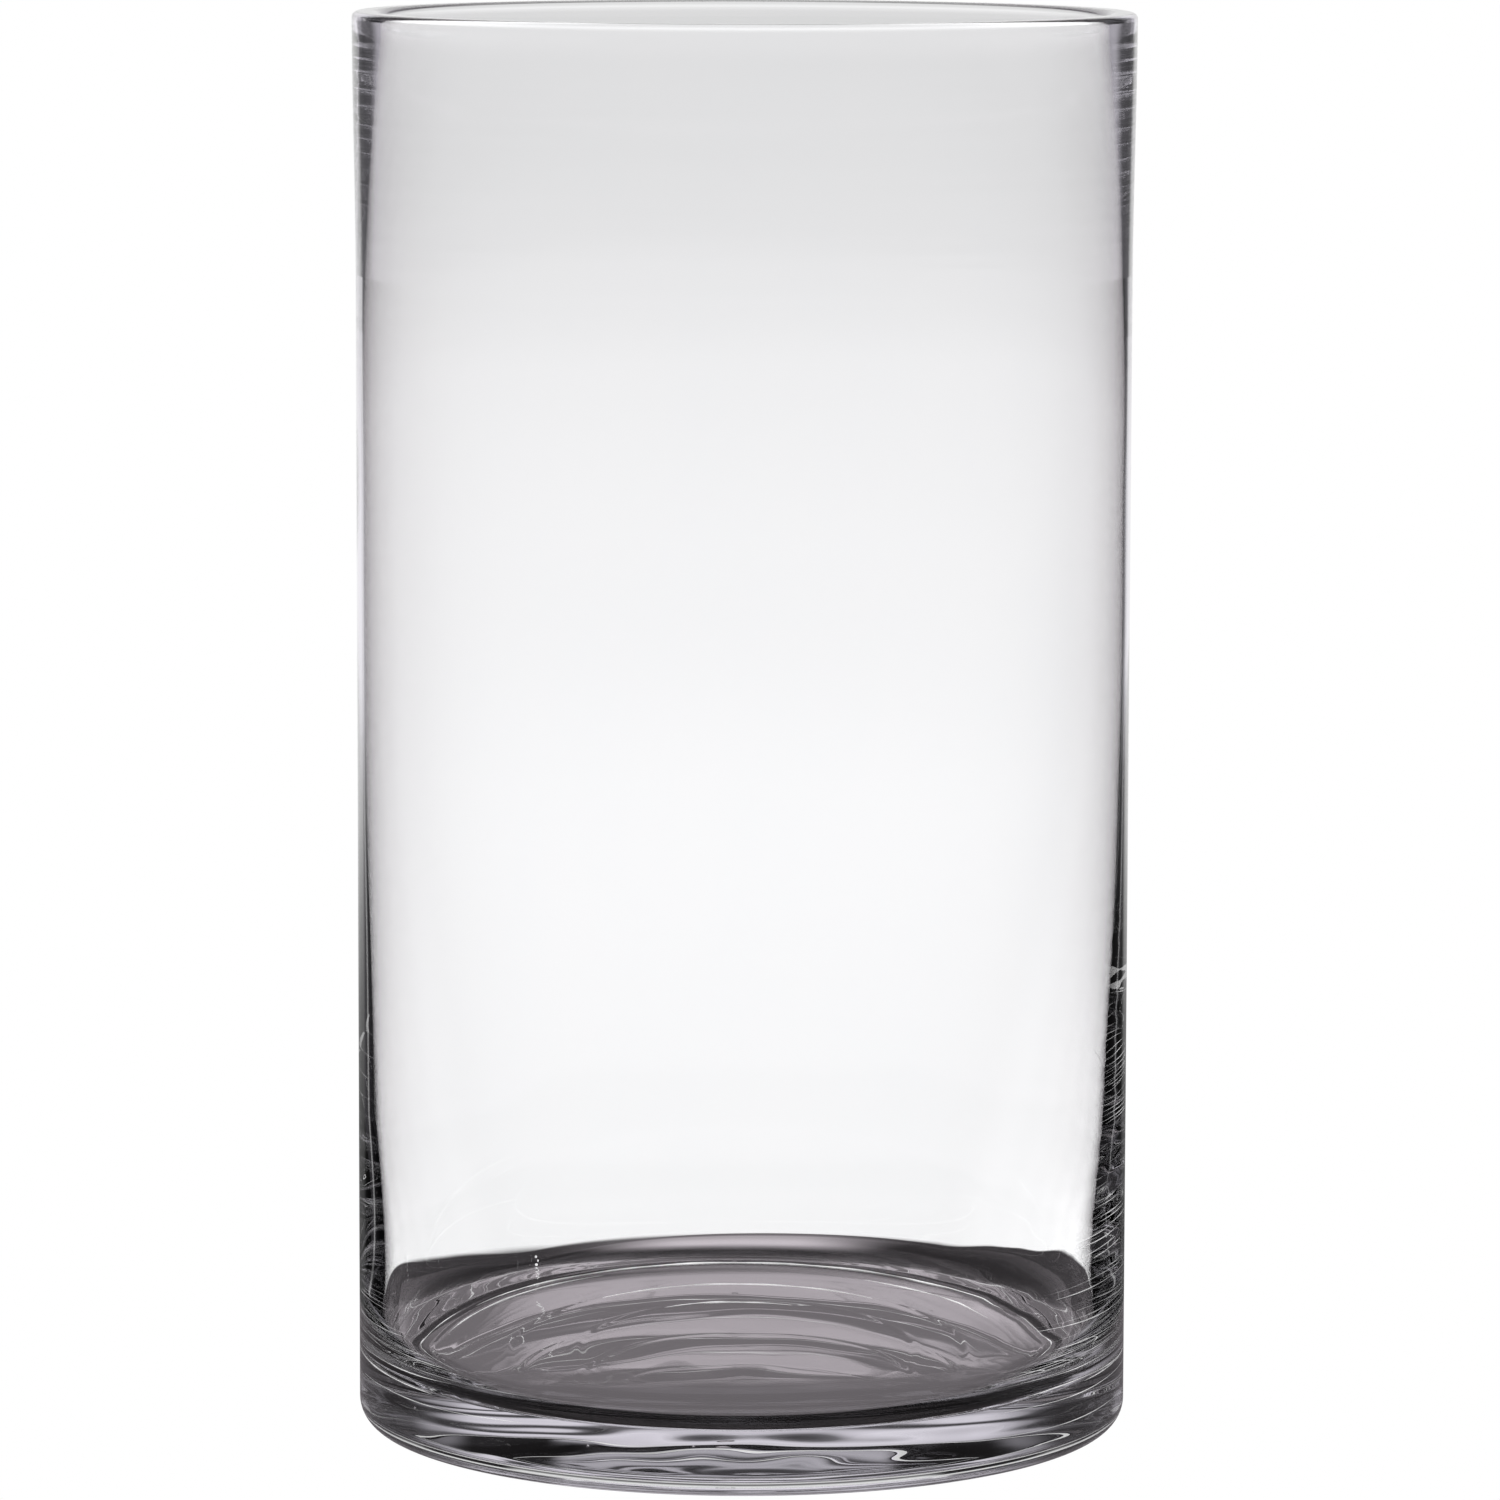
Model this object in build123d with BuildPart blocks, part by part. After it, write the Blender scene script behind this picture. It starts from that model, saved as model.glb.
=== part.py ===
"""Tall clear-glass cylinder vase with a thick solid base, in millimetres, standing on Z = 0 with its axis on Z.

A vase like this is one piece of glass. Its glass is worked as two bodies, a solid base with a rounded inside
corner and a hollow wall, which are fused face to face on one flat ring just above that corner. Both are bodies
of revolution, each drawn as a half section in the XZ plane and turned about Z.
"""

import os

from build123d import *

# Overall
HEIGHT = 350.0  # foot to rim
BODY_RADIUS = 95.2  # outside of the straight body
LIP_RADIUS = 96.0  # outside of the lip, which flares very slightly

# Lip
FLARE_START = 285.0  # the outside is straight up to here
RIM_OUTER_ROUND = 1.5  # fire-polished outer edge of the rim
RIM_INNER_ROUND = 2.0  # fire-polished inner edge of the rim
MOUTH_RADIUS = 89.0  # straight-sided mouth, the narrowest place
MOUTH_BOTTOM = 345.0

# Base
FLOOR_HEIGHT = 17.0  # inside floor above the table
FLOOR_CORNER = 11.0  # round between floor and wall, inside
FOOT_CORNER = 6.6  # round between foot and wall, outside
FOOT_RING_INNER = 76.0  # the flat foot ring lies outside this radius
PUSH_UP = 2.6  # height of the hollow under the base at its middle

# Inside of the wall between the mouth and the floor corner, as (height, radius). The wall is
# thick at the lip, thin in the middle and thick again above the base.
WALL_INSIDE = [
    (338.0, 89.9),
    (316.0, 91.5),
    (280.0, 92.95),
    (225.0, 93.5),
    (150.0, 92.7),
    (80.0, 90.5),
]
WALL_FOOT_RADIUS = 89.0  # inside radius where the wall runs into the floor corner

# Worked out from the sizes above
seam_height = FLOOR_HEIGHT + FLOOR_CORNER  # ring face on which wall and base are fused
floor_radius = WALL_FOOT_RADIUS - FLOOR_CORNER

UP = (0, 1)
DOWN = (0, -1)

with BuildPart() as cylinder_wall:
    with BuildSketch(Plane.XZ) as wall_section:
        with BuildLine():
            outside = Line((BODY_RADIUS, seam_height), (BODY_RADIUS, FLARE_START))
            flare = Spline(outside @ 1, (LIP_RADIUS, HEIGHT - RIM_OUTER_ROUND), tangents=[UP, UP])
            outer_round = RadiusArc(flare @ 1, (LIP_RADIUS - RIM_OUTER_ROUND, HEIGHT), -RIM_OUTER_ROUND)
            rim_top = Line(outer_round @ 1, (MOUTH_RADIUS + RIM_INNER_ROUND, HEIGHT))
            inner_round = RadiusArc(rim_top @ 1, (MOUTH_RADIUS, HEIGHT - RIM_INNER_ROUND), -RIM_INNER_ROUND)
            mouth = Line(inner_round @ 1, (MOUTH_RADIUS, MOUTH_BOTTOM))
            inside = Spline(mouth @ 1, *[(radius, height) for height, radius in WALL_INSIDE],
                            (WALL_FOOT_RADIUS, seam_height), tangents=[DOWN, DOWN])
            Line(inside @ 1, outside @ 0)
        make_face()
    revolve(axis=Axis.Z)

with BuildPart() as solid_base:
    with BuildSketch(Plane.XZ) as base_section:
        with BuildLine():
            push_up = ThreePointArc((0, PUSH_UP), (FOOT_RING_INNER / 2, PUSH_UP * 0.75), (FOOT_RING_INNER, 0))
            foot_ring = Line(push_up @ 1, (BODY_RADIUS - FOOT_CORNER, 0))
            foot_round = RadiusArc(foot_ring @ 1, (BODY_RADIUS, FOOT_CORNER), -FOOT_CORNER)
            side = Line(foot_round @ 1, (BODY_RADIUS, seam_height))
            seam = Line(side @ 1, (WALL_FOOT_RADIUS, seam_height))
            floor_corner = RadiusArc(seam @ 1, (floor_radius, FLOOR_HEIGHT), FLOOR_CORNER)
            floor = Line(floor_corner @ 1, (0, FLOOR_HEIGHT))
            Line(floor @ 1, push_up @ 0)
        make_face()
    revolve(axis=Axis.Z)

os.makedirs("parts", exist_ok=True)
for name, piece in {"cylinder_wall": cylinder_wall, "solid_base": solid_base}.items():
    piece.part.label = name
    export_step(piece.part, f"parts/{name}.step")
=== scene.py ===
import math

import bpy
import numpy as np
from mathutils import Euler, Matrix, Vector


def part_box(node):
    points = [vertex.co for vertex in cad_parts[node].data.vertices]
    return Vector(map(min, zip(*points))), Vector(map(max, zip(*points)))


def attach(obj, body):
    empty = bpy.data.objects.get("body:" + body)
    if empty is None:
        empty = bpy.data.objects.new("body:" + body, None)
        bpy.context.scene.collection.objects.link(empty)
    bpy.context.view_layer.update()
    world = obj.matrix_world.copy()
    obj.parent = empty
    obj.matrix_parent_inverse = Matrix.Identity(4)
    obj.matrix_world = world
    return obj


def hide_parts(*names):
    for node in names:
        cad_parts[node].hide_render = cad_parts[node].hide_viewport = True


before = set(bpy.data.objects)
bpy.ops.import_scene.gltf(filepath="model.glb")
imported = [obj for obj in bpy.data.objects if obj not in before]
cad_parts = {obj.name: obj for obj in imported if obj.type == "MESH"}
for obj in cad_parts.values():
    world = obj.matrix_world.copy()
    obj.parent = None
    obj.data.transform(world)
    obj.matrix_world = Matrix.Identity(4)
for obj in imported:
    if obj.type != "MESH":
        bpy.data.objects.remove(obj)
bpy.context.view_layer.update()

base_low, base_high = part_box("solid_base")
wall_low, wall_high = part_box("cylinder_wall")

MM = 0.001

# Sizes from the CAD frame, in metres. The radii are the smallest of the four sides of a box, so
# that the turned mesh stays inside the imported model's facets.
HEIGHT = wall_high.z
SEAM_HEIGHT = base_high.z
BODY_RADIUS = min(-base_low.x, -base_low.y, base_high.x, base_high.y)
LIP_RADIUS = min(-wall_low.x, -wall_low.y, wall_high.x, wall_high.y)

# Sizes repeated from the CAD source
FLARE_START = 285 * MM
RIM_OUTER_ROUND = 1.5 * MM
RIM_INNER_ROUND = 2.0 * MM
MOUTH_RADIUS = 89 * MM
FLOOR_HEIGHT = 17.0 * MM
FLOOR_CORNER = 11.0 * MM
FOOT_CORNER = 6.6 * MM
FOOT_RING_INNER = 76 * MM
PUSH_UP = 2.6 * MM
WALL_FOOT_RADIUS = 89 * MM
WALL_INSIDE = [  # height and inside radius in mm, from the mouth down
    (348, 89.0), (338, 89.9), (316, 91.5), (280, 92.95), (225, 93.45), (150, 93.0), (80, 91.0), (28, 89.0),
]

AROUND = 256  # vertices round the axis
CLOSE_RINGS_FROM = 275 * MM  # above this the inside has rings close enough for its chill rings
UNEVEN_TOP = 90 * MM  # the inside corner's uneven height dies out upwards, by here
CALM_LIP = 335  # mm, from here to the rim the inside's ripples die out
UNDER_WAVE = 0.0009  # height of the underside's waves, as a part of their length
TAU = 2 * math.pi


def smooth_step(low, high, value):
    t = np.clip((value - low) / (high - low), 0, 1)
    return t * t * (3 - 2 * t)


def bump(value, centre, width):
    return np.exp(-(((value - centre) / width) ** 2))


def arc(centre, radius, start, end, count):
    """Points of an arc in the half section, angles in degrees, without its first point."""
    angles = np.radians(np.linspace(start, end, count + 1)[1:])
    return [(centre[0] + radius * math.cos(a), centre[1] + radius * math.sin(a)) for a in angles]


def curve_through(points, heights):
    """Radius at each height on a smooth curve through (height, radius) points, in metres."""
    z = np.array([p[0] for p in points], float)[::-1] * MM
    r = np.array([p[1] for p in points], float)[::-1] * MM
    slope = np.gradient(r, z)
    slope[0] = 0
    i = np.clip(np.searchsorted(z, heights) - 1, 0, len(z) - 2)
    step = z[i + 1] - z[i]
    t = (heights - z[i]) / step
    return (
        (2 * t**3 - 3 * t**2 + 1) * r[i]
        + (t**3 - 2 * t**2 + t) * step * slope[i]
        + (3 * t**2 - 2 * t**3) * r[i + 1]
        + (t**3 - t**2) * step * slope[i + 1]
    )


def half_section():
    """The vase's half section as radius, height and region name, from the middle of the
    underside out, up the outside, over the rim, down the inside and along the floor."""
    rows = []

    def add(region, points):
        rows.extend((r, z, region) for r, z in points)

    radii = np.linspace(0, FOOT_RING_INNER, 61)
    add("under", [(r, PUSH_UP * (1 - (r / FOOT_RING_INNER) ** 2)) for r in radii])
    add("foot", [(r, 0.0) for r in np.linspace(FOOT_RING_INNER, BODY_RADIUS - FOOT_CORNER, 5)[1:]])
    add("foot", arc((BODY_RADIUS - FOOT_CORNER, FOOT_CORNER), FOOT_CORNER, -90, 0, 14))
    add("outside", [(BODY_RADIUS, z) for z in np.linspace(FOOT_CORNER, FLARE_START, 61)[1:]])
    heights = np.linspace(FLARE_START, HEIGHT - RIM_OUTER_ROUND, 17)[1:]
    flare = smooth_step(FLARE_START, HEIGHT - RIM_OUTER_ROUND, heights)
    add("outside", zip(BODY_RADIUS + (LIP_RADIUS - BODY_RADIUS) * flare, heights))
    add("rim", arc((LIP_RADIUS - RIM_OUTER_ROUND, HEIGHT - RIM_OUTER_ROUND), RIM_OUTER_ROUND, 0, 90, 8))
    flat = np.linspace(LIP_RADIUS - RIM_OUTER_ROUND, MOUTH_RADIUS + RIM_INNER_ROUND, 5)[1:]
    add("rim", [(r, HEIGHT) for r in flat])
    add("rim", arc((MOUTH_RADIUS + RIM_INNER_ROUND, HEIGHT - RIM_INNER_ROUND), RIM_INNER_ROUND, 90, 175, 8))
    upper = np.linspace(HEIGHT - RIM_INNER_ROUND, CLOSE_RINGS_FROM, 105)[1:]
    heights = np.concatenate([upper, np.linspace(CLOSE_RINGS_FROM, SEAM_HEIGHT, 121)[1:]])
    add("inside", zip(curve_through(WALL_INSIDE, heights), heights))
    corner_middle = (WALL_FOOT_RADIUS - FLOOR_CORNER, FLOOR_HEIGHT + FLOOR_CORNER)
    add("corner", arc(corner_middle, FLOOR_CORNER, 0, -90, 18))
    floor_radius = WALL_FOOT_RADIUS - FLOOR_CORNER
    add("floor", [(r, FLOOR_HEIGHT) for r in np.linspace(floor_radius, 0, 101)[1:]])
    return rows


def inside_ripple(z, turn):
    """How far the inside of the wall stands out from its turned shape, in metres: chill rings
    near the rim, slanting cords low down on the right and slow waves all over. z in mm."""
    top = smooth_step(262, 310, z)
    chill = (
        np.sin(TAU * z / 4.6 + 0.8 * np.sin(2 * turn + 0.4))
        + 0.8 * np.sin(TAU * z / 7.3 + 1.1 * np.sin(turn))
        + 0.5 * np.sin(TAU * z / 3.1 + 0.5 * np.cos(3 * turn))
    )
    low = (1 - smooth_step(90, 170, z)) * smooth_step(0.3, 0.9, np.cos(turn))
    cords = (
        np.sin(TAU * (z + 16 * np.sin(turn - 0.5)) / 8.7 + 3 * turn)
        + 0.7 * np.sin(TAU * (z - 11 * np.cos(2 * turn)) / 6.1 - 2 * turn)
    )
    slow = np.sin(TAU * z / 118 + 2 * turn) + 0.7 * np.sin(TAU * z / 61 - 3 * turn + 1)
    return (0.004 * top * chill + 0.010 * low * cords + 0.02 * slow) * MM


def inside_shift(z):
    """Sideways shift of the cavity, in metres: its lower part is off the middle. z in mm."""
    return -0.6 * MM * (1 - smooth_step(40, 170, z))


def corner_top(turn):
    """Height where the inside corner starts to curve in, in metres: highest at the two sides and
    lowest at the back, left of the middle."""
    away = np.abs(np.cos(turn))
    sides = 4.0 * smooth_step(0.6, 0.9, away) + 7.0 * np.clip((away - 0.85) / 0.15, 0, 1) ** 2
    dip = 2.4 * bump(turn, math.radians(132), math.radians(19))
    return (26.0 - 1.2 * np.sin(turn) + 1.3 * np.cos(turn) + sides - dip) * MM


def corner_width(turn):
    """How far the inside corner reaches in from the wall, in metres."""
    return (9.8 - 0.8 * np.sin(turn)) * MM


def floor_relief(r, turn):
    """Height of the floor's tilt, rings and waves over its level, in metres. r in mm."""
    back = 0.5 + 0.5 * np.sin(turn)
    edge = (WALL_FOOT_RADIUS - corner_width(turn)) / MM
    tilt = 2.4 * np.sin(turn) * r / 80
    rings = (
        -0.22 * bump(r, edge - 1.2, 0.7)
        + 0.14 * bump(r, 57, 1.0) * back
        + 0.12 * bump(r, 42 + 2 * np.cos(turn), 1.0) * back
    )
    waves = 0.03 * np.cos(TAU * r / 23 + 0.6 * np.cos(2 * turn)) * (1 - bump(r, 0, 10))
    swirl = 0.10 * bump(r, 0, 9) + 0.05 * np.sin(2 * turn + r / 7) * bump(r, 18, 10)
    return (tilt + rings + waves + swirl) * MM


def floor_height(r, turn):
    """Height of the inside floor, or of the foot of its corner, in metres. r in mm."""
    return FLOOR_HEIGHT + floor_relief(r, turn)


def under_relief(x, y):
    """Height of the underside's shallow waves, in metres. x and y in mm."""
    waves = 0
    for i in range(9):
        way = 2.4 * i + 0.3
        length = 17.0 + 7.0 * (i % 5)
        along = x * math.cos(way) + y * math.sin(way)
        waves = waves + length * np.sin(TAU * along / length + 1.7 * i)
    return UNDER_WAVE * waves * (1 - smooth_step(60, 74, np.hypot(x, y))) * MM


def displaced(r, z, region, turn):
    """x, y and z of one ring of the mesh."""
    shift = 0.0
    if region == "inside":
        fade = smooth_step(HEIGHT / MM, CALM_LIP, z / MM)
        ripple = inside_ripple(z / MM, turn) * fade
        low = np.clip((UNEVEN_TOP - z) / (UNEVEN_TOP - SEAM_HEIGHT), 0, 1)
        z = z + (corner_top(turn) - SEAM_HEIGHT) * low**2
        r = r + ripple
        shift = inside_shift(z / MM)
    elif region == "corner":
        across = (WALL_FOOT_RADIUS - r) / FLOOR_CORNER
        down = (SEAM_HEIGHT - z) / FLOOR_CORNER
        ripple = inside_ripple(z / MM, turn) * (1 - down)
        r = WALL_FOOT_RADIUS - across * corner_width(turn)
        foot = floor_height((WALL_FOOT_RADIUS - corner_width(turn)) / MM, turn)
        z = corner_top(turn) - down * (corner_top(turn) - foot)
        r = r + ripple
        shift = inside_shift(z / MM)
    elif region == "floor":
        r = r * (WALL_FOOT_RADIUS - corner_width(turn)) / (WALL_FOOT_RADIUS - FLOOR_CORNER)
        z = z + floor_relief(r / MM, turn)
        shift = inside_shift(z / MM) * smooth_step(20, 60, r / MM)
    elif region == "under":
        z = z + under_relief(r / MM * np.cos(turn), r / MM * np.sin(turn))
    x = r * np.cos(turn) + shift
    y = r * np.sin(turn)
    return np.stack([x, y, z + 0 * turn], axis=1)


def turned_mesh(rows):
    """Vertices and faces of the closed body that the half section sweeps round the axis."""
    turn = TAU * np.arange(AROUND) / AROUND
    rings = [displaced(r, z, region, turn) for r, z, region in rows[1:-1]]
    first = displaced(rows[0][0], rows[0][1], rows[0][2], turn).mean(0)
    last = displaced(rows[-1][0], rows[-1][1], rows[-1][2], turn).mean(0)
    vertices = np.concatenate([*rings, [first], [last]])
    faces = []
    for i in range(len(rings) - 1):
        for j in range(AROUND):
            k = (j + 1) % AROUND
            a, b = i * AROUND, (i + 1) * AROUND
            faces.append((a + j, a + k, b + k, b + j))
    bottom, top = len(vertices) - 2, len(vertices) - 1
    end = (len(rings) - 1) * AROUND
    for j in range(AROUND):
        k = (j + 1) % AROUND
        faces.append((bottom, k, j))
        faces.append((end + j, end + k, top))
    return vertices, faces


NEUTRAL = (1, 1, 1)
COOL = (1.0, 0.96, 1.06)
MAUVE = (1.03, 0.94, 1.0)


def ramp(nodes, links, value, stops, low, high, tint=NEUTRAL):
    """A colour ramp over a value from 0 to 1 that stands for low to high in the stops."""
    node = nodes.new("ShaderNodeValToRGB")
    node.color_ramp.interpolation = "EASE"
    elements = node.color_ramp.elements
    while len(elements) < len(stops):
        elements.new(0.5)
    for element, (place, bright) in zip(elements, stops):
        element.position = (place - low) / (high - low)
        element.color = (*[bright * part for part in tint], 1)
    links.new(value, node.inputs[0])
    return node.outputs[0]


def math_node(nodes, links, operation, *values):
    node = nodes.new("ShaderNodeMath")
    node.operation = operation
    for i, value in enumerate(values):
        if isinstance(value, (int, float)):
            node.inputs[i].default_value = value
        else:
            links.new(value, node.inputs[i])
    return node.outputs[0]


def mix_colour(nodes, links, factor, first, second, blend="MIX"):
    node = nodes.new("ShaderNodeMix")
    node.data_type = "RGBA"
    node.blend_type = blend
    if isinstance(factor, float):
        node.inputs["Factor"].default_value = factor
    else:
        links.new(factor, node.inputs["Factor"])
    links.new(first, node.inputs[6])
    links.new(second, node.inputs[7])
    return node.outputs[2]


GLASS_INDEX = 1.52  # refractive index of soda-lime glass


def glass_material():
    """Clear glass with faint streaks of a second tint."""
    material = bpy.data.materials.new("clear_glass")
    material.use_nodes = True
    nodes, links = material.node_tree.nodes, material.node_tree.links
    shader = nodes["Principled BSDF"]
    place = nodes.new("ShaderNodeTexCoord")
    stretch = nodes.new("ShaderNodeMapping")
    stretch.inputs["Scale"].default_value = (1.0, 1.0, 0.35)
    links.new(place.outputs["Object"], stretch.inputs["Vector"])
    streaks = nodes.new("ShaderNodeTexNoise")
    streaks.inputs["Scale"].default_value = 45
    streaks.inputs["Detail"].default_value = 2
    links.new(stretch.outputs["Vector"], streaks.inputs["Vector"])
    tint = nodes.new("ShaderNodeMix")
    tint.data_type = "RGBA"
    tint.inputs[6].default_value = (0.988, 0.988, 0.99, 1)
    tint.inputs[7].default_value = (0.978, 0.982, 0.988, 1)
    links.new(streaks.outputs["Fac"], tint.inputs["Factor"])
    links.new(tint.outputs[2], shader.inputs["Base Color"])
    shader.inputs["Roughness"].default_value = 0.0
    shader.inputs["IOR"].default_value = GLASS_INDEX
    shader.inputs["Transmission Weight"].default_value = 1.0
    return material


def streak_material_painted_glow():
    """White inclusions: the fine lines and specks in the glass, which glow as a painted highlight."""
    material = bpy.data.materials.new("white_streaks_painted_glow")
    material.use_nodes = True
    nodes, links = material.node_tree.nodes, material.node_tree.links
    shader = nodes["Principled BSDF"]
    place = nodes.new("ShaderNodeTexCoord")
    patches = nodes.new("ShaderNodeTexNoise")
    patches.inputs["Scale"].default_value = 60
    links.new(place.outputs["Object"], patches.inputs["Vector"])
    shade = ramp(nodes, links, patches.outputs["Fac"], [(0.35, 0.45), (0.65, 0.95)], 0, 1)
    links.new(shade, shader.inputs["Base Color"])
    shader.inputs["Roughness"].default_value = 0.3
    # Painted highlight: the streaks glow with their own tone, in place of the studio light's highlights on
    # them.
    links.new(shade, shader.inputs["Emission Color"])
    shader.inputs["Emission Strength"].default_value = 0.8
    return material


def tube(path, radii, sides=6):
    """Vertices and faces of a closed tube along a path, pointed at both ends."""
    path = np.array(path)
    along = np.gradient(path, axis=0)
    along /= np.linalg.norm(along, axis=1)[:, None]
    across = np.cross(along, (0, 0, 1))
    across /= np.linalg.norm(across, axis=1)[:, None]
    up = np.cross(across, along)
    vertices = [path[0]]
    for i in range(1, len(path) - 1):
        for k in range(sides):
            a = TAU * k / sides
            vertices.append(path[i] + radii[i] * (math.cos(a) * across[i] + math.sin(a) * up[i]))
    vertices.append(path[-1])
    last = len(vertices) - 1
    faces = []
    for k in range(sides):
        n = (k + 1) % sides
        faces.append((0, 1 + k, 1 + n))
        faces.append((last, last - sides + n, last - sides + k))
        for i in range(len(path) - 3):
            a, b = 1 + i * sides, 1 + (i + 1) * sides
            faces.append((a + k, b + k, b + n, a + n))
    return np.array(vertices), faces


def floor_line(radius, start, end, wobble, thickness):
    """A fine line lying in the inside floor, from one bearing to another in degrees."""
    turns = np.radians(np.linspace(start, end, 120))
    r = radius + wobble * np.sin(5 * turns) + 0.5 * wobble * np.sin(11 * turns + 1)
    z = floor_height(r, turns)
    t = np.linspace(0, 1, 120)
    width = thickness * np.sqrt(np.sin(np.pi * t)) * (0.75 + 0.25 * np.sin(23 * turns)) * MM
    shift = inside_shift(z / MM)
    return tube(np.stack([r * MM * np.cos(turns) + shift, r * MM * np.sin(turns), z], axis=1), width)


def wall_line(radius, height, start, end, slant, thickness):
    """A fine nearly level line inside the wall, from one bearing to another in degrees."""
    turns = np.radians(np.linspace(start, end, 90))
    t = np.linspace(0, 1, 90)
    z = (height + slant * t + 0.25 * np.sin(9 * turns + height)) * MM
    width = thickness * np.sqrt(np.sin(np.pi * t)) * (0.7 + 0.3 * np.sin(17 * turns + height)) * MM
    return tube(np.stack([radius * MM * np.cos(turns), radius * MM * np.sin(turns), z], axis=1), width)


def seed(centre, half_sizes, rings=6, around=10):
    """An air bubble in the glass: a small closed ellipsoid that faces inwards."""
    vertices = [(0, 0, 1)]
    for i in range(1, rings):
        a = math.pi * i / rings
        for k in range(around):
            b = TAU * k / around
            vertices.append((math.sin(a) * math.cos(b), math.sin(a) * math.sin(b), math.cos(a)))
    vertices.append((0, 0, -1))
    last = len(vertices) - 1
    faces = []
    for k in range(around):
        n = (k + 1) % around
        faces.append((0, 1 + n, 1 + k))
        faces.append((last, last - around + k, last - around + n))
        for i in range(rings - 2):
            a, b = 1 + i * around, 1 + (i + 1) * around
            faces.append((a + k, a + n, b + n, b + k))
    return np.array(vertices) * np.array(half_sizes) * MM + np.array(centre) * MM, faces


def joined(bodies):
    """One list of vertices and one of faces from several closed bodies."""
    vertices, faces = [], []
    for places, shapes in bodies:
        start = sum(len(v) for v in vertices)
        vertices.append(places)
        faces += [tuple(start + i for i in face) for face in shapes]
    return np.concatenate(vertices), faces


def new_object(name, vertices, faces, material):
    mesh = bpy.data.meshes.new(name)
    mesh.from_pydata([tuple(v) for v in vertices], [], faces)
    mesh.update()
    mesh.shade_smooth()
    piece = bpy.data.objects.new(name, mesh)
    bpy.context.scene.collection.objects.link(piece)
    piece.data.materials.append(material)
    return piece


# Specks in the base, as centre and half sizes in mm: a string of white ones that rises at the back
# on the left, and air bubbles, one larger at the back and the others small
STRING = [
    ((-54 + 0.3 * math.sin(2.3 * i), 69.5, 13 + 1.0 * i), (0.2 + 0.1 * (i % 3), 0.2, 0.32))
    for i in range(11)
]
SEEDS = [
    ((-1.5, 82.5, 16.6), (1.0, 0.5, 0.9)), ((-76, 42, 13), (0.5, 0.5, 0.4)), ((-66, 50, 12), (0.4, 0.4, 0.5)),
    ((82, 24, 14), (0.5, 0.5, 0.9)), ((-34, -68, 9), (0.35, 0.35, 0.35)), ((52, 62, 11), (0.4, 0.4, 0.4)),
    ((-10, -58, 8), (0.3, 0.3, 0.3)), ((-70, -30, 10), (0.4, 0.4, 0.3)), ((30, 70, 12), (0.3, 0.3, 0.3)),
]
# Fine white lines in the inside floor: radius, start, end, wobble, thickness
LINES = [
    (79.2, 28, 150, 0.12, 0.3), (80.5, 152, 212, 0.15, 0.22), (75.5, 118, 168, 0.2, 0.26),
    (57.5, 52, 128, 0.3, 0.28), (80.0, -20, 24, 0.15, 0.24), (71.0, 24, 62, 0.2, 0.2),
    (41.0, 70, 118, 0.3, 0.2),
]
# Fine white lines inside the wall near its foot: radius, height, start, end, slant, thickness.
# Eleven climb up the right side, and the rest are above them and on the left.
WALL_LINES = [
    (
        92.6 + 0.7 * math.sin(2.1 * i),
        10.0 + 4.6 * i + 1.4 * math.sin(1.7 * i),
        -50 + 2.6 * i + 5 * math.sin(3.3 * i),
        -5 + 6 * math.sin(1.3 * i),
        1.2 * math.sin(0.9 * i),
        0.1 + 0.035 * (i % 3),
    )
    for i in range(11)
]
WALL_LINES += [
    (92.6, 80, -20, 6, 0.8, 0.12), (92.8, 89, -17, 8, 0.4, 0.12), (92.5, 34, 184, 203, 0.5, 0.12),
    (92.2, 29, 186, 209, 0.8, 0.12), (92.5, 21, 187, 222, 0.6, 0.14), (92.0, 14.5, 190, 236, 0.3, 0.12),
]
bodies = [turned_mesh(half_section())] + [seed(*item) for item in SEEDS]
vertices, faces = joined(bodies)
glass_faces = len(faces)
white = [floor_line(*item) for item in LINES] + [wall_line(*item) for item in WALL_LINES]
for places, shapes in [seed(*item) for item in STRING]:
    white.append((places, [face[::-1] for face in shapes]))
vertices, faces = joined([(vertices, faces)] + white)
vase = new_object("vase_glass", vertices, faces, glass_material())
# The white lines and specks take the second material, whose glow is a painted highlight.
vase.data.materials.append(streak_material_painted_glow())
for i in range(glass_faces, len(faces)):
    vase.data.polygons[i].material_index = 1
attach(vase, "root")
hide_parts("cylinder_wall", "solid_base")

# Studio. Seen directly, floor and backdrop are white. What the glass shows depends on the path of
# the light through it: how often it was turned back (Glossy Depth) and how many surfaces it crossed
# (Transmission Depth, which is 2 for one body of glass).
# - Light that only passed through comes from a white backdrop that darkens upwards.
# - Light turned back in one body of glass comes, above the horizon, from softboxes between dark
#   flags, which draw the streaks in the foot, and, below it, from one softbox behind the vase,
#   which leaves the edges of the wall dark.
# - Light reflected off the outside comes from one softbox behind the vase.
# - All other light that was turned back comes from a soft grey surround.
# Each list gives degrees, then brightness or strength. Heights are above the horizon, and bearings
# are to either side of the middle of what the list describes.
BACKDROP = [  # by height
    (-90, 0.85), (-40, 0.9), (-20, 0.98), (-14, 1.1), (-9, 1.12), (-6, 1.06), (-4, 1.01), (-2, 0.94),
    (0, 0.89), (6, 0.84), (14, 0.75), (40, 0.75), (90, 0.9),
]
BACKDROP_SIDES = [  # by bearing from the nearest of eight directions
    (0, 1.0), (1.5, 1.0), (4, 1.0), (6, 1.07), (8, 1.14), (10, 1.24), (13, 1.45), (17, 1.85), (22.5, 1.7),
]
BACKDROP_SIDES_USED = [  # by height, how much of that is used
    (-90, 1.0), (-4.2, 1.0), (-3.2, 0.3), (90, 0.1),
]
RIM_BACKDROP = 0.85  # in place of that for light that crossed one body, as over the front of the rim
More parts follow.
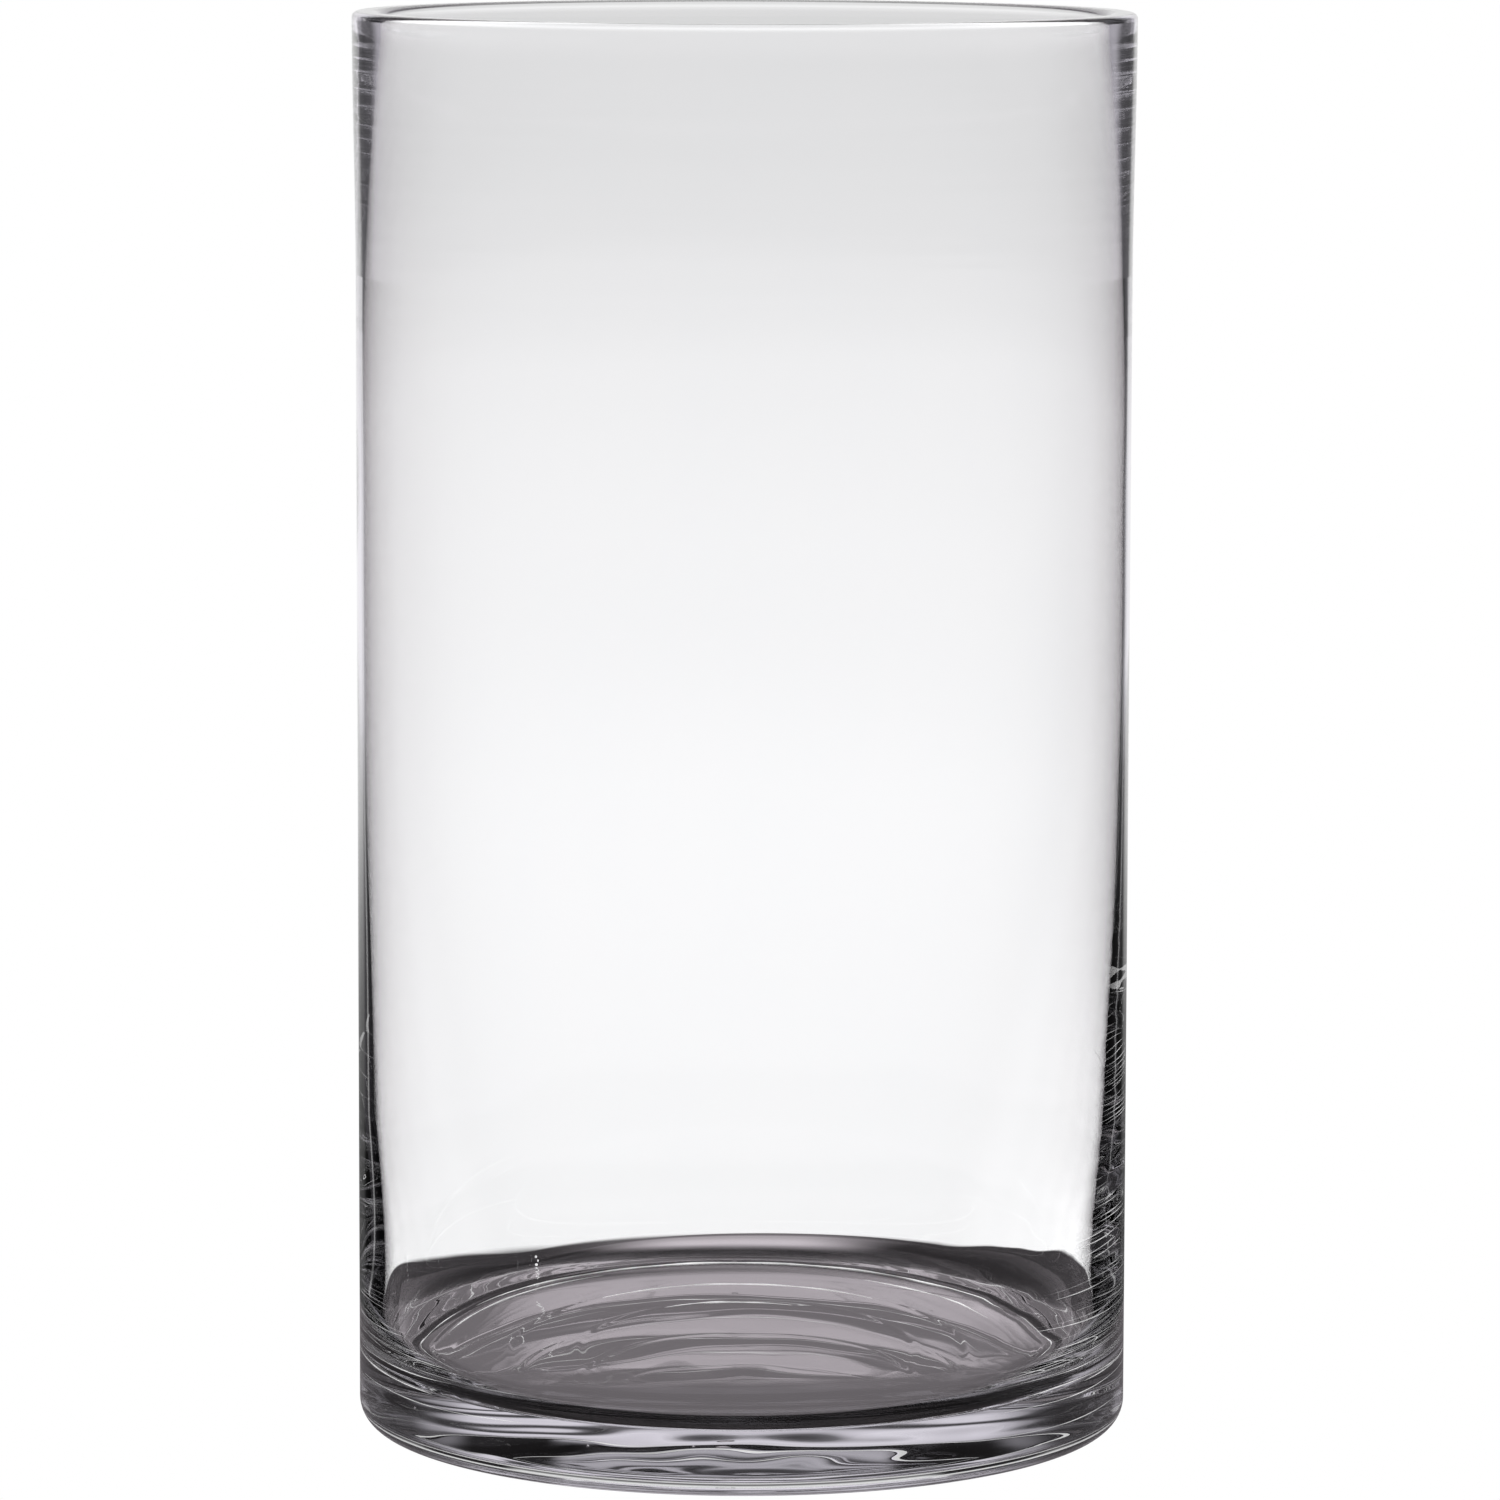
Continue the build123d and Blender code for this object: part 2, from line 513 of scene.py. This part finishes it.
FLAGS = [  # by height
    (-90, 0.0), (4.6, 0.0), (5.8, 0.03), (7.2, 0.62), (8.8, 0.68), (10.2, 0.05), (11.6, 0.05), (13.2, 0.7),
    (15.2, 0.6), (16.6, 0.08), (18.5, 0.5), (24, 0.7), (40, 0.8), (90, 0.9),
]
FLAG_SIDES = [  # by bearing from the nearer of two softboxes, in front of and behind the vase
    (0, 1.0), (28, 1.0), (39, 0.5), (48, 0.1), (56, 0.04), (72, 0.04), (80, 0.5), (90, 0.5),
]
STRIPED_SIDES = [  # the same with stripes, for light turned back three times or more and the low card
    (0, 1.0), (16, 1.0), (19, 0.03), (30, 0.03), (36, 0.4), (46, 0.05), (72, 0.04), (80, 0.5), (90, 0.5),
]
WALL_SIDES = [  # by bearing from the softbox behind the vase, for light turned back in the wall
    (0, 0.95), (15, 0.9), (18, 0.6), (21, 0.3), (23.5, 0.08), (28, 0.02), (180, 0.015),
]
WALL_HEIGHTS = [  # by height
    (-90, 0.1), (-11, 0.12), (-10, 0.2), (-9, 0.35), (-8.3, 0.7), (-7.5, 0.95), (-5, 0.9), (-3.5, 0.75),
    (1, 0.7), (90, 0.7),
]
WALL_LINE = [  # a narrow bright strip at the edge of that softbox
    (0, 0.0), (18, 0.0), (19, 0.5), (20.2, 0.5), (21.2, 0.0), (180, 0.0),
]
SURROUND = [  # by height
    (-90, 0.3), (-30, 0.4), (-12, 0.55), (-2, 0.7), (5, 0.45), (10, 0.21), (20, 0.165), (38, 0.175),
    (48, 0.52), (60, 0.55), (90, 0.5),
]
PANELS = [  # by bearing from the softbox behind the vase, for light reflected off the outside
    (0, 0.95), (18, 0.9), (24, 0.12), (30, 0.04), (180, 0.04),
]
PANEL_HEIGHTS = [  # by height
    (-90, 0.03), (-11, 0.08), (-10, 0.15), (-9, 0.3), (-8.2, 0.6), (-7.5, 0.95), (90, 1.0),
]
RIG_TURN = 2.0  # degrees from straight behind: to the left for the wall and panels, right for the foot
FLAGS_FROM = 1.0  # degrees above the horizon from which the flags and their softboxes are seen

# The table as the glass shows it, painted into the floor's glow: a painted shadow, grey under the vase and
# dark round the foot, with a painted pool of light (a caustic) as a brighter patch behind it, an even grey to
# light that was turned back, and a mirror to light that crossed one body. Metres from the axis, and
# brightness.
TABLE_PAINTED_SHADOW = [
    (0, 0.14), (0.06, 0.14), (0.085, 0.09), (0.096, 0.006), (0.11, 0.006), (0.14, 0.02), (0.2, 0.035),
]
# Painted pool of light: a brighter patch on the table behind the foot, where the vase would focus a caustic.
PAINTED_CAUSTIC = [
    (0, 0.0), (0.107, 0.0), (0.125, 0.62), (0.155, 0.42), (0.175, 0.14), (0.2, 0.08),
]
PAINTED_CAUSTIC_SIDES = [  # degrees to either side of straight behind, and strength
    (0, 1.0), (6, 1.0), (20, 0.0), (180, 0.0),
]
MIRROR = [
    (0, 0.0), (0.108, 0.0), (0.125, 0.6), (0.166, 0.6), (0.172, 0.0), (0.2, 0.0),
]
EVEN_TABLE = 0.165
TABLE_FADE = (0.188, 0.198)  # beyond this the backdrop or the low card shows instead
TABLE_HALF_SIDE = 6.0
TABLE_DROP = 0.0003  # the floor lies this much under the foot

# Two rings of card round the vase. Light that passed straight through the foot sees the low one, and
# light turned back in the wall sees the high one.
CARD_RADIUS = 0.5
CARD = [  # metres above the table, and brightness
    (0, 0.34), (0.01, 0.3), (0.022, 0.2), (0.03, 0.16), (0.045, 0.6), (0.06, 0.9),
]
HIGH_CARD = (0.29, 0.58)  # metres above the table
HIGH_SIDES = [  # by bearing from the same softbox behind the vase as WALL_SIDES
    (0, 0.85), (10, 0.75), (17, 0.65), (18.5, 0.7), (19.3, 1.0), (20.5, 1.0), (21.8, 0.2), (28, 0.12),
    (38, 0.12), (46, 0.5), (58, 0.3), (78, 0.06), (180, 0.05),
]


def new_tree(owner):
    """The emptied node tree of a material or a world."""
    owner.use_nodes = True
    owner.node_tree.nodes.clear()
    return owner.node_tree.nodes, owner.node_tree.links


def flat_colour(nodes, bright, tint=NEUTRAL):
    node = nodes.new("ShaderNodeRGB")
    node.outputs[0].default_value = (*[bright * part for part in tint], 1)
    return node.outputs[0]


def glow(nodes, links, colour):
    node = nodes.new("ShaderNodeEmission")
    links.new(colour, node.inputs["Color"])
    return node.outputs[0]


def mix_shader(nodes, links, factor, first, second):
    node = nodes.new("ShaderNodeMixShader")
    links.new(factor, node.inputs[0])
    links.new(first, node.inputs[1])
    links.new(second, node.inputs[2])
    return node.outputs[0]


def show(nodes, links, surface, kind="ShaderNodeOutputMaterial"):
    links.new(surface, nodes.new(kind).inputs["Surface"])


def light_path(nodes, links):
    """What the studio asks of the path of the light, each 1 for yes and 0 for no."""
    path = nodes.new("ShaderNodeLightPath")
    glossy, crossed = path.outputs["Glossy Depth"], path.outputs["Transmission Depth"]
    straight = math_node(nodes, links, "LESS_THAN", glossy, 0.5)
    turned_back = math_node(nodes, links, "GREATER_THAN", glossy, 0.5)
    one_body = math_node(nodes, links, "COMPARE", crossed, 2, 0.5)
    return {
        "seen": path.outputs["Is Camera Ray"],
        "turned_back": turned_back,
        "turned_back_often": math_node(nodes, links, "GREATER_THAN", glossy, 2.5),
        "outside": math_node(nodes, links, "COMPARE", crossed, 0, 0.5),
        "one_body": one_body,
        "through_foot": math_node(nodes, links, "MULTIPLY", straight, one_body),
        "back_in_wall": math_node(nodes, links, "MULTIPLY", turned_back, one_body),
    }


def bearing(nodes, links, vector):
    """Radians to the right of straight behind, and Z, of a direction or a place."""
    parts = nodes.new("ShaderNodeSeparateXYZ")
    links.new(vector, parts.inputs[0])
    turn = math_node(nodes, links, "ARCTAN2", parts.outputs["X"], parts.outputs["Y"])
    return turn, parts.outputs["Z"]


def aside(nodes, links, turn, middle):
    """How far a bearing is to either side of the middle, in degrees, as a part of 180 degrees."""
    away = math_node(nodes, links, "SUBTRACT", turn, math.radians(middle))
    away = math_node(nodes, links, "ABSOLUTE", away)
    return math_node(nodes, links, "DIVIDE", away, math.pi)


def aside_repeated(nodes, links, turn, middle, reach):
    """The same as a part of reach, for middles that repeat every two reaches. Degrees."""
    away = math_node(nodes, links, "SUBTRACT", turn, math.radians(middle))
    away = math_node(nodes, links, "PINGPONG", away, math.radians(reach))
    return math_node(nodes, links, "DIVIDE", away, math.radians(reach))


def build_world():
    world = bpy.data.worlds.new("studio")
    bpy.context.scene.world = world
    nodes, links = new_tree(world)
    direction = nodes.new("ShaderNodeTexCoord")
    turn, up = bearing(nodes, links, direction.outputs["Generated"])
    height = math_node(nodes, links, "ARCSINE", up)
    height = math_node(nodes, links, "MULTIPLY_ADD", height, 1 / math.pi, 0.5)
    path = light_path(nodes, links)

    def by_height(stops, tint=NEUTRAL):
        return ramp(nodes, links, height, stops, -90, 90, tint)

    def times(first, second):
        return mix_colour(nodes, links, 1.0, first, second, "MULTIPLY")

    eighth = aside_repeated(nodes, links, turn, 0, 22.5)
    fall = ramp(nodes, links, eighth, BACKDROP_SIDES, 0, 22.5)
    plain = flat_colour(nodes, 1.0)
    fall = mix_colour(nodes, links, by_height(BACKDROP_SIDES_USED), plain, fall)
    fall = mix_colour(nodes, links, path["one_body"], fall, flat_colour(nodes, RIM_BACKDROP))
    backdrop = times(by_height(BACKDROP), fall)

    half = aside_repeated(nodes, links, turn, RIG_TURN, 90)
    flag_sides = ramp(nodes, links, half, FLAG_SIDES, 0, 90)
    striped_sides = ramp(nodes, links, half, STRIPED_SIDES, 0, 90)
    sides = mix_colour(nodes, links, path["turned_back_often"], flag_sides, striped_sides)
    flags = times(by_height(FLAGS, COOL), sides)

    around = aside(nodes, links, turn, -RIG_TURN)
    wall = times(ramp(nodes, links, around, WALL_SIDES, 0, 180, COOL), by_height(WALL_HEIGHTS))
    wall = mix_colour(nodes, links, 1.0, wall, ramp(nodes, links, around, WALL_LINE, 0, 180), "ADD")
    upwards = math_node(nodes, links, "GREATER_THAN", height, 0.5 + FLAGS_FROM / 180)
    in_one_body = mix_colour(nodes, links, upwards, wall, flags)

    panels = times(ramp(nodes, links, around, PANELS, 0, 180), by_height(PANEL_HEIGHTS))
    other = mix_colour(nodes, links, path["outside"], by_height(SURROUND, MAUVE), panels)
    turned_back = mix_colour(nodes, links, path["one_body"], other, in_one_body)
    studio = nodes.new("ShaderNodeBackground")
    links.new(mix_colour(nodes, links, path["turned_back"], backdrop, turned_back), studio.inputs["Color"])
    white = nodes.new("ShaderNodeBackground")
    white.inputs["Color"].default_value = (1, 1, 1, 1)
    surface = mix_shader(nodes, links, path["seen"], studio.outputs[0], white.outputs[0])
    show(nodes, links, surface, "ShaderNodeOutputWorld")


def build_floor():
    material = bpy.data.materials.new("floor_white_painted_shadow_and_caustic")
    nodes, links = new_tree(material)
    place = nodes.new("ShaderNodeTexCoord")
    length = nodes.new("ShaderNodeVectorMath")
    length.operation = "LENGTH"
    links.new(place.outputs["Object"], length.inputs[0])
    distance = length.outputs["Value"]
    reach = math_node(nodes, links, "DIVIDE", distance, TABLE_PAINTED_SHADOW[-1][0])
    turn, _ = bearing(nodes, links, place.outputs["Object"])
    path = light_path(nodes, links)

    def by_distance(stops, tint=NEUTRAL):
        return ramp(nodes, links, reach, stops, 0, TABLE_PAINTED_SHADOW[-1][0], tint)

    # Painted shadow and painted light: for rays that came through the glass, the floor glows dark round and
    # under the foot, with a brighter caustic patch behind the vase.
    painted_caustic_sides = ramp(nodes, links, aside(nodes, links, turn, 0), PAINTED_CAUSTIC_SIDES, 0, 180)
    painted_caustic = mix_colour(nodes, links, 1.0, by_distance(PAINTED_CAUSTIC, MAUVE), painted_caustic_sides, "MULTIPLY")
    shade = mix_colour(nodes, links, 1.0, by_distance(TABLE_PAINTED_SHADOW, MAUVE), painted_caustic, "ADD")
    shade = mix_colour(nodes, links, path["turned_back"], shade, flat_colour(nodes, EVEN_TABLE, MAUVE))
    mirror = nodes.new("ShaderNodeBsdfGlossy")
    mirror.inputs["Roughness"].default_value = 0.05
    links.new(by_distance(MIRROR), mirror.inputs["Color"])
    near = mix_shader(nodes, links, path["one_body"], glow(nodes, links, shade), mirror.outputs[0])

    clear = nodes.new("ShaderNodeBsdfTransparent")
    card_floor = glow(nodes, links, flat_colour(nodes, CARD[0][1]))
    inside_card = math_node(nodes, links, "LESS_THAN", distance, CARD_RADIUS)
    on_card = math_node(nodes, links, "MULTIPLY", inside_card, path["through_foot"])
    beyond = mix_shader(nodes, links, on_card, clear.outputs[0], card_floor)

    fade = nodes.new("ShaderNodeMapRange")
    fade.interpolation_type = "SMOOTHSTEP"
    fade.inputs["From Min"].default_value, fade.inputs["From Max"].default_value = TABLE_FADE
    links.new(distance, fade.inputs["Value"])
    through = mix_shader(nodes, links, fade.outputs["Result"], near, beyond)
    white = glow(nodes, links, flat_colour(nodes, 1.0))
    show(nodes, links, mix_shader(nodes, links, path["seen"], through, white))

    side = TABLE_HALF_SIDE
    corners = [(-side, -side, 0), (side, -side, 0), (side, side, 0), (-side, side, 0)]
    floor = new_object("floor", corners, [(0, 1, 2, 3)], material)
    floor.location.z = -TABLE_DROP


def ring(radius, bottom, top, count=96):
    """Vertices and faces of an upright band round the axis."""
    turns = [TAU * i / count for i in range(count)]
    places = [(radius * math.cos(a), radius * math.sin(a), z) for z in (bottom, top) for a in turns]
    return places, [(i, (i + 1) % count, count + (i + 1) % count, count + i) for i in range(count)]


def low_card_colour(nodes, links, turn, height):
    up = math_node(nodes, links, "DIVIDE", height, CARD[-1][0])
    shade = ramp(nodes, links, up, CARD, 0, CARD[-1][0])
    sides = ramp(nodes, links, aside_repeated(nodes, links, turn, RIG_TURN, 90), STRIPED_SIDES, 0, 90)
    return mix_colour(nodes, links, 1.0, shade, sides, "MULTIPLY")


def high_card_colour(nodes, links, turn, height):
    return ramp(nodes, links, aside(nodes, links, turn, -RIG_TURN), HIGH_SIDES, 0, 180, COOL)


def build_card(name, bottom, top, colour, seen_by):
    """A ring of card that only light of one kind of path sees."""
    material = bpy.data.materials.new(name)
    nodes, links = new_tree(material)
    place = nodes.new("ShaderNodeTexCoord")
    turn, height = bearing(nodes, links, place.outputs["Object"])
    card = glow(nodes, links, colour(nodes, links, turn, height))
    clear = nodes.new("ShaderNodeBsdfTransparent")
    seen = light_path(nodes, links)[seen_by]
    show(nodes, links, mix_shader(nodes, links, seen, clear.outputs[0], card))
    new_object(name, *ring(CARD_RADIUS, bottom, top), material)


build_world()
build_floor()
build_card("low_card", 0, CARD[-1][0], low_card_colour, "through_foot")
build_card("high_card", *HIGH_CARD, high_card_colour, "back_in_wall")

# Camera: long lens a little above the rim, looking down at the vase. Metres, degrees and mm.
CAMERA_DISTANCE = 1.918
CAMERA_HEIGHT = 0.4114
CAMERA_TILT = 7.23
CAMERA_TURN = -0.051
CAMERA_ROLL = 0.14
CAMERA_LENS = 187.7
SENSOR_WIDTH = 36
camera = bpy.data.cameras.new("camera")
camera.lens = CAMERA_LENS
camera.sensor_width = SENSOR_WIDTH
camera.clip_end = 100
view = bpy.data.objects.new("camera", camera)
bpy.context.scene.collection.objects.link(view)
turned = Euler((math.radians(90 - CAMERA_TILT), 0, math.radians(CAMERA_TURN))).to_matrix().to_4x4()
roll = Matrix.Rotation(math.radians(CAMERA_ROLL), 4, "Z")
view.matrix_world = Matrix.Translation((0, -CAMERA_DISTANCE, CAMERA_HEIGHT)) @ turned @ roll
bpy.context.scene.camera = view

BOUNCES = 32  # enough for light that is turned back many times in the base
scene = bpy.context.scene
scene.view_settings.view_transform = "Standard"
scene.cycles.max_bounces = BOUNCES
scene.cycles.transmission_bounces = BOUNCES
scene.cycles.glossy_bounces = BOUNCES
scene.cycles.transparent_max_bounces = BOUNCES // 2
